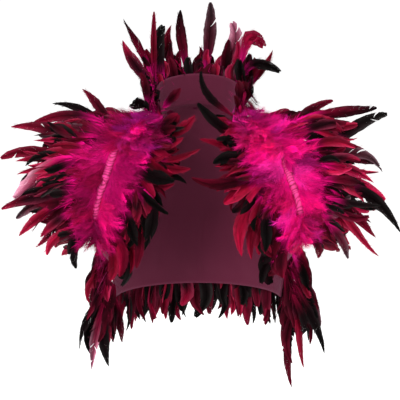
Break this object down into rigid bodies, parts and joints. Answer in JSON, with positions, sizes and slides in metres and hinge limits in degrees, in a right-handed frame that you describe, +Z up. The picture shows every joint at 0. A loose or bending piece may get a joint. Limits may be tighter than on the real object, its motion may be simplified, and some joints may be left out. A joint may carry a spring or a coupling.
{
  "type": "feather cape",
  "caption": "Open-fronted shoulder cape of rose cloth with a standing collar, trimmed all over with dyed crimson and black cock feathers.",
  "frame": {"origin": "centre of the neck opening at the base of the neck, where the cape sits on its wearer", "axes": "+Z up, the open front faces -Y, +X is the right-hand side seen from the front"},
  "size_m": [0.6256, 0.2619, 0.628],
  "materials": {
    "cloth": "matte plain weave",
    "binding": "matte ribbed tape",
    "feather": "satin, with matte down at the roots"
  },
  "bodies": {
    "root": {"back_panel": "cloth", "collar_stand": "cloth", "front_left": "cloth", "front_right": "cloth", "binding_left": "binding", "binding_right": "binding", "collar_feathers": "feather", "outer_feathers_left": "feather", "outer_feathers_right": "feather", "inner_feathers_left": "feather", "inner_feathers_right": "feather", "side_feathers_left": "feather", "side_feathers_right": "feather", "back_feathers_upper": "feather", "back_feathers_middle": "feather", "back_feathers_lower": "feather"}
  },
  "joints": []
}
